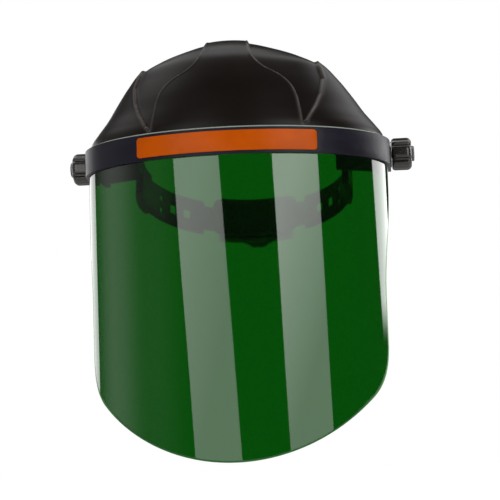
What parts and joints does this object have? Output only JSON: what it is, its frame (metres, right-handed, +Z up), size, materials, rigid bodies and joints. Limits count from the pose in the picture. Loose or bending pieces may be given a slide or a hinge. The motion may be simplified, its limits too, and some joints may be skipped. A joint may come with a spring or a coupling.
{
  "type": "face shield",
  "caption": "Face shield with a moulded brow guard, a curved green visor in a band, tilt knobs and ratchet headgear.",
  "frame": {"origin": "middle of the tilt axis, between the wearer's temples", "axes": "+X to the wearer's left, the front of the visor faces -Y, +Z up"},
  "size_m": [0.2828, 0.2645, 0.336],
  "materials": {
    "crown_plastic": "moulded, fine matte texture",
    "band_plastic": "satin navy black",
    "insert_plastic": "smooth orange",
    "visor_sheet": "clear dark green polycarbonate",
    "stud_plastic": "black acetal",
    "stop_disc_plastic": "natural nylon",
    "knob_plastic": "black moulded nylon",
    "cap_plastic": "dark grey",
    "nut_brass": "turned",
    "zinc_steel": "zinc plated",
    "spring_steel": "spring steel",
    "headgear_plastic": "black moulded polyethylene",
    "housing_plastic": "black moulded nylon",
    "sweatband_fabric": "perforated soft leathercloth over foam"
  },
  "bodies": {
    "headgear": {"headband": "headgear_plastic", "sweatband": "sweatband_fabric", "pivot_bolt_left": "zinc_steel", "pivot_bolt_right": "zinc_steel", "pivot_bush_left": "stud_plastic", "pivot_bush_right": "stud_plastic", "spring_washer_left": "spring_steel", "spring_washer_right": "spring_steel", "ratchet_housing": "housing_plastic", "ratchet_back_plate": "housing_plastic", "housing_screws": "zinc_steel", "click_spring": "spring_steel", "nape_pad": "sweatband_fabric", "top_strap_left": "headgear_plastic", "top_strap_right": "headgear_plastic", "top_strap_peg": "headgear_plastic", "top_strap_studs": "headgear_plastic"},
    "shield": {"crown_shell": "crown_plastic", "visor_band": "band_plastic", "front_insert": "insert_plastic", "visor": "visor_sheet", "visor_snap_studs": "stud_plastic", "stop_disc_left": "stop_disc_plastic", "stop_disc_right": "stop_disc_plastic"},
    "tilt_knob_left": {"pivot_knob_left": "knob_plastic", "knob_nut_left": "nut_brass", "knob_cap_left": "cap_plastic"},
    "tilt_knob_right": {"pivot_knob_right": "knob_plastic", "knob_nut_right": "nut_brass", "knob_cap_right": "cap_plastic"},
    "ratchet_dial": {"ratchet_knob": "knob_plastic", "ratchet_pinion": "housing_plastic", "ratchet_knob_screw": "zinc_steel"},
    "strap_left": {"rack_strap_left": "headgear_plastic"},
    "strap_right": {"rack_strap_right": "headgear_plastic"}
  },
  "joints": [
    {"name": "shield_tilt", "type": "hinge", "parent": "headgear", "child": "shield", "pos_m": [0, 0, 0], "axis": [-1, 0, 0], "range_deg": [0, 95]},
    {"name": "tilt_knob_left_turn", "type": "hinge", "parent": "headgear", "child": "tilt_knob_left", "pos_m": [-0.13, 0, 0], "axis": [-1, 0, 0], "range_deg": [0, 360]},
    {"name": "tilt_knob_right_turn", "type": "hinge", "parent": "headgear", "child": "tilt_knob_right", "pos_m": [0.13, 0, 0], "axis": [1, 0, 0], "range_deg": [0, 360]},
    {"name": "ratchet_turn", "type": "hinge", "parent": "headgear", "child": "ratchet_dial", "pos_m": [0, 0.1192, -0.03418], "axis": [0, 0.9613, -0.2756], "range_deg": [-96, 96]},
    {"name": "strap_right_feed", "type": "hinge", "parent": "headgear", "child": "strap_right", "pos_m": [0, 0.03268, -0.00937], "axis": [0, 0.2756, 0.9613], "range_deg": [-5.83, 5.83]},
    {"name": "strap_left_feed", "type": "hinge", "parent": "headgear", "child": "strap_left", "pos_m": [0, 0.03268, -0.00937], "axis": [0, 0.2756, 0.9613], "range_deg": [-5.71, 5.71]}
  ],
  "couplings": [
    {"joint": "strap_right_feed", "follows": "ratchet_turn", "ratio": -0.057604},
    {"joint": "strap_left_feed", "follows": "ratchet_turn", "ratio": 0.056306}
  ]
}
